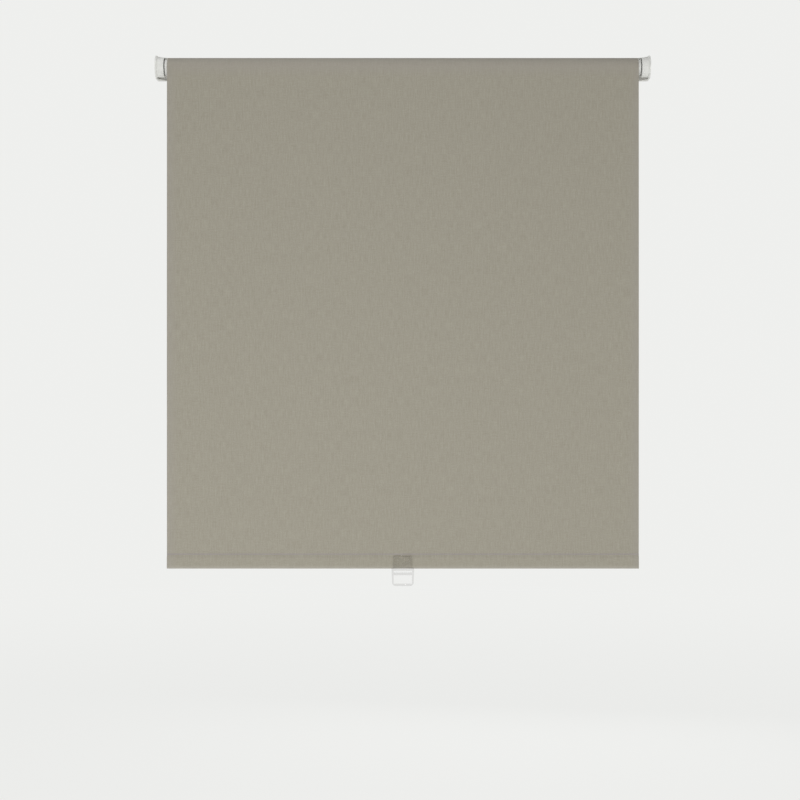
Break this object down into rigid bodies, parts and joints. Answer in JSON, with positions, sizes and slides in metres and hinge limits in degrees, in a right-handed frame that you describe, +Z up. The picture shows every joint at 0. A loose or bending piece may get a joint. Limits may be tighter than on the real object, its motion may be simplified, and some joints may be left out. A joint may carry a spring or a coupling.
{
  "type": "spring roller blind",
  "caption": "Plain taupe window blind: cloth on a spring-loaded roller between moulded brackets, with a weighted hem and a clear pull to draw it down.",
  "frame": {"origin": "on the fixing face, midway between the two brackets and level with the roller's axis: the centre of the face screws' pattern", "axes": "+X along the roller to the right as seen from the room, +Y into the window, +Z up"},
  "size_m": [0.9, 0.051, 0.9643],
  "materials": {
    "cloth": "matte",
    "white_plastic": "satin",
    "clear_plastic": "gloss",
    "nylon": "matte",
    "tape": "matte",
    "aluminium": "satin",
    "steel": "satin",
    "brass": "satin"
  },
  "bodies": {
    "brackets": {"left_bracket": "white_plastic", "right_bracket": "white_plastic", "spindle": "steel", "ratchet_wheel": "nylon", "wheel_pin": "steel", "spring_hub": "white_plastic", "spindle_clip": "steel"},
    "roller": {"roller_tube": "aluminium", "fixing_tape": "tape", "fabric_roll": "cloth", "spring_end_plug": "white_plastic", "spindle_bush": "brass", "ratchet_cover": "white_plastic", "upper_pawl_pin": "steel", "lower_pawl_pin": "steel", "spring_anchor": "white_plastic", "torsion_spring": "steel", "idle_end_plug": "white_plastic", "pin_spring_seat": "white_plastic", "idle_pin_spring": "steel"},
    "upper_pawl": {"upper_pawl": "nylon"},
    "lower_pawl": {"lower_pawl": "nylon"},
    "idle_pin": {"idle_pin": "steel"},
    "hem": {"fabric_drop": "cloth", "hem_pocket": "cloth", "bottom_bar": "white_plastic", "pull_handle": "clear_plastic"}
  },
  "joints": [
    {"name": "drop", "type": "slide", "parent": "brackets", "child": "hem", "axis": [0, 0, 1], "range_m": [-0.5268, 0.84288], "deforming": ["fabric_drop"]},
    {"name": "roller_turn", "type": "hinge", "parent": "brackets", "child": "roller", "pos_m": [0, -0.03, 0], "axis": [1, 0, 0], "range_deg": [-2882, 1802]},
    {"name": "idle_pin", "type": "slide", "parent": "roller", "child": "idle_pin", "axis": [1, 0, 0], "range_m": [0, 0.0125], "stiffness_N_per_m": 300, "springref_m": -0.01, "deforming": ["idle_pin_spring"]},
    {"name": "upper_pawl", "type": "hinge", "parent": "roller", "child": "upper_pawl", "pos_m": [0.40455, -0.03707, 0.00485], "axis": [1, 0, 0], "range_deg": [-15, 0]},
    {"name": "lower_pawl", "type": "hinge", "parent": "roller", "child": "lower_pawl", "pos_m": [0.40455, -0.02293, -0.00485], "axis": [1, 0, 0], "range_deg": [-15, 0]}
  ],
  "couplings": [
    {"joint": "roller_turn", "follows": "drop", "rad_per_m": -59.635}
  ]
}
